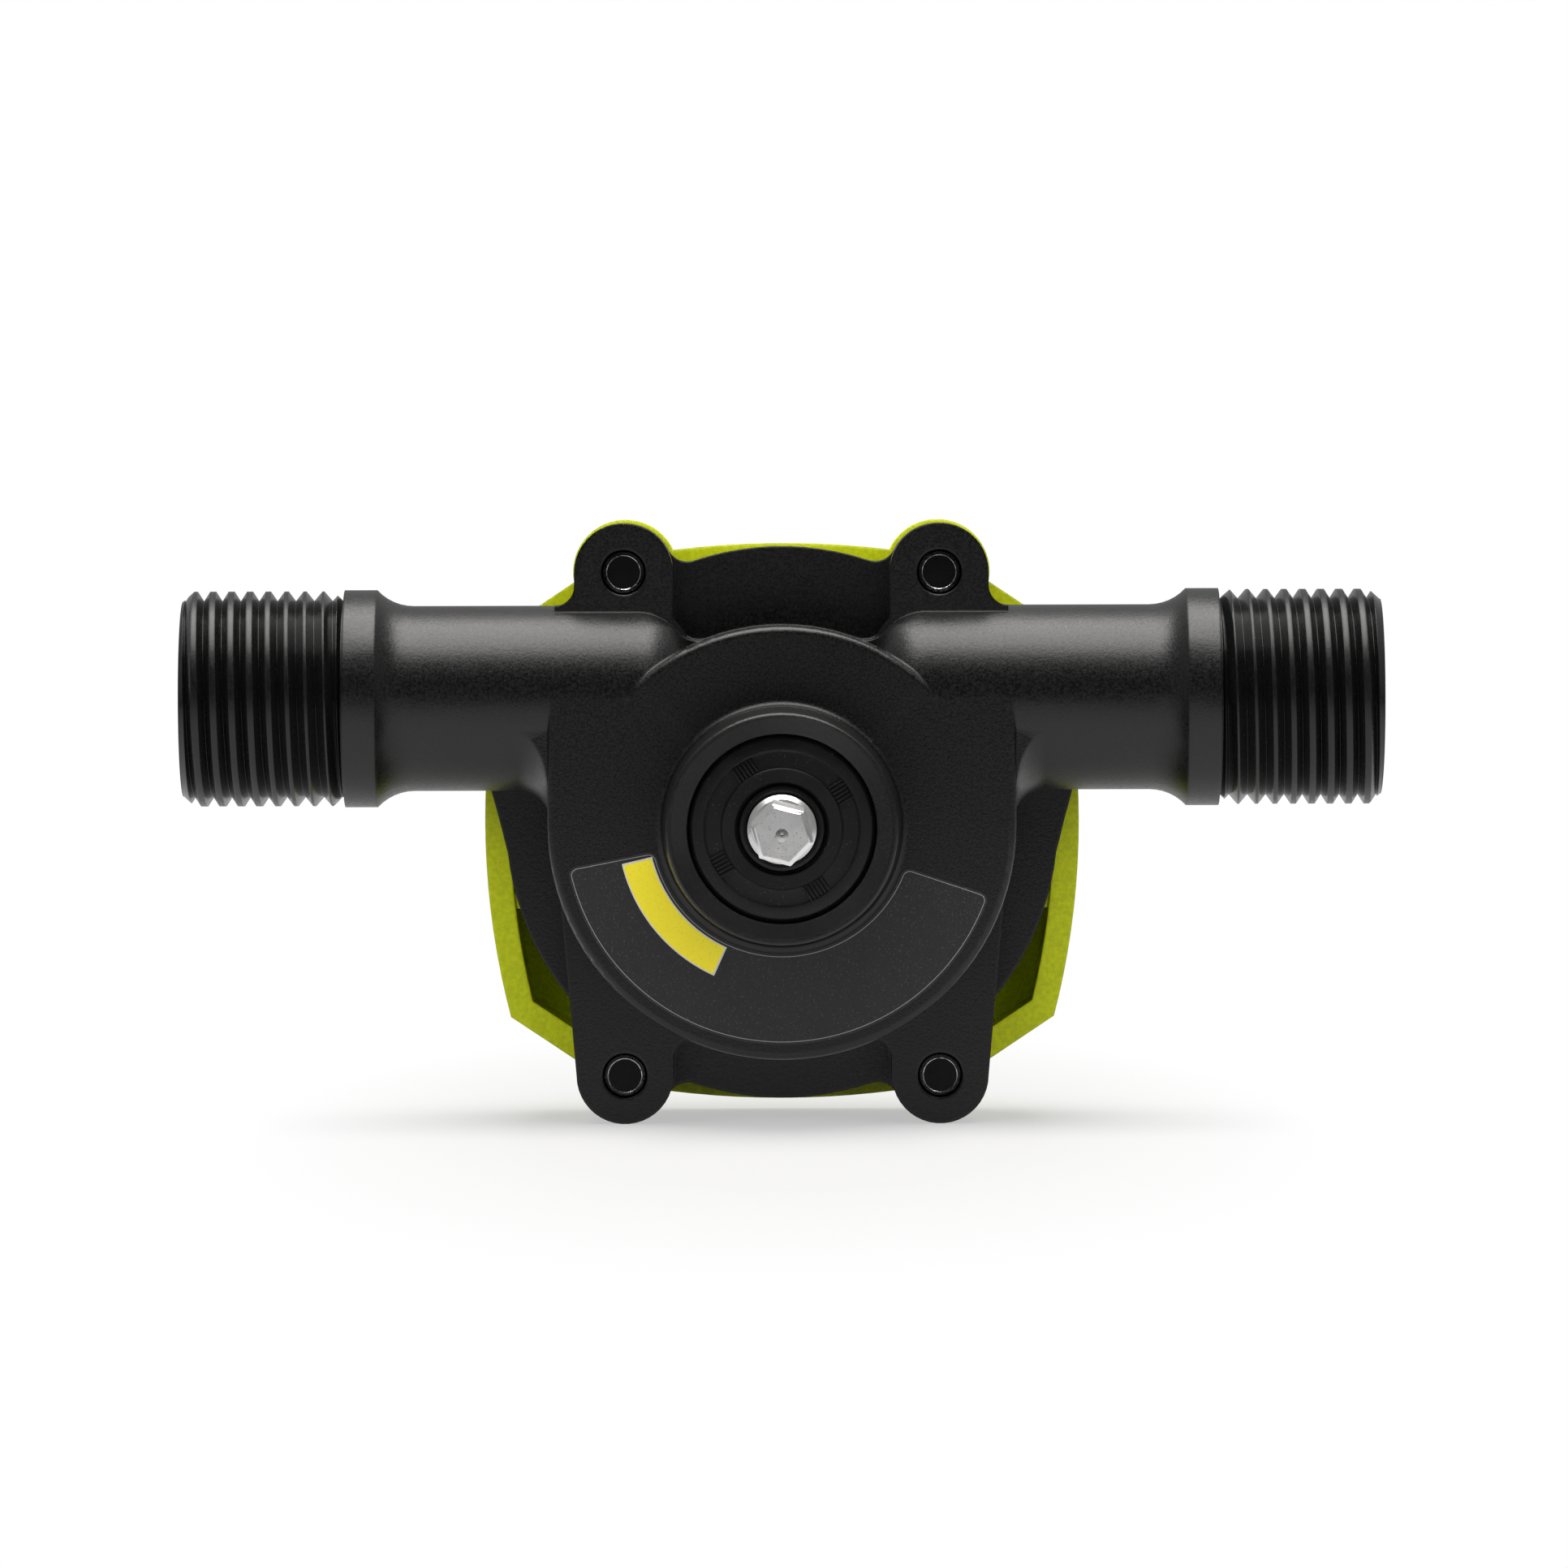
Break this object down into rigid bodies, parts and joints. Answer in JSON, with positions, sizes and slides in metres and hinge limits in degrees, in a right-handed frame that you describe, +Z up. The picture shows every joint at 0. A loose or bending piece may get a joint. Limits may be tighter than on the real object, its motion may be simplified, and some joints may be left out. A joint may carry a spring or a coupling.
{
  "type": "drill powered pump",
  "caption": "Flexible impeller transfer pump with two male hose ports in line and a hexagon shaft driven by a drill chuck.",
  "frame": {"origin": "bottom centre of the bounding box, on the ground under the lower ears, with the shaft axis 35.3 mm above it", "axes": "+X along the port axis towards the inlet, +Y along the shaft from the drill's side to the front cover, +Z up"},
  "size_m": [0.141, 0.0804, 0.0711],
  "materials": {
    "housing_plastic": "black, fine spark-eroded texture",
    "cover_plastic": "lime green, satin moulded",
    "screw_steel": "black oxide",
    "rubber": "moulded nitrile rubber",
    "insert_plastic": "glass filled nylon",
    "shaft_steel": "turned and milled",
    "plate_steel": "rolled stainless sheet",
    "bearing_steel": "ground",
    "label_vinyl": "printed vinyl, left bare"
  },
  "bodies": {
    "housing": {"pump_housing": "housing_plastic", "front_cover": "cover_plastic", "cover_screws": "screw_steel", "cover_oring": "rubber", "end_plate": "plate_steel", "bearing_outer_ring": "bearing_steel", "bearing_seals": "rubber", "seal_body": "rubber", "seal_case": "shaft_steel", "seal_spring": "shaft_steel", "face_label": "label_vinyl"},
    "rotor": {"drive_shaft": "shaft_steel", "impeller": "rubber", "impeller_insert": "insert_plastic", "drive_pin": "shaft_steel", "retaining_rings": "screw_steel", "bearing_inner_ring": "bearing_steel"},
    "ball_set": {"bearing_balls": "bearing_steel", "bearing_cage": "bearing_steel", "cage_rivets": "bearing_steel"}
  },
  "joints": [
    {"name": "shaft_spin", "type": "hinge", "parent": "housing", "child": "rotor", "pos_m": [0, -0.00175, 0.0353], "axis": [0, 1, 0], "continuous": true, "deforming": ["impeller"]},
    {"name": "cage_spin", "type": "hinge", "parent": "housing", "child": "ball_set", "pos_m": [0, -0.00375, 0.0353], "axis": [0, 1, 0], "continuous": true}
  ],
  "couplings": [
    {"joint": "cage_spin", "follows": "shaft_spin", "ratio": 0.3677}
  ]
}
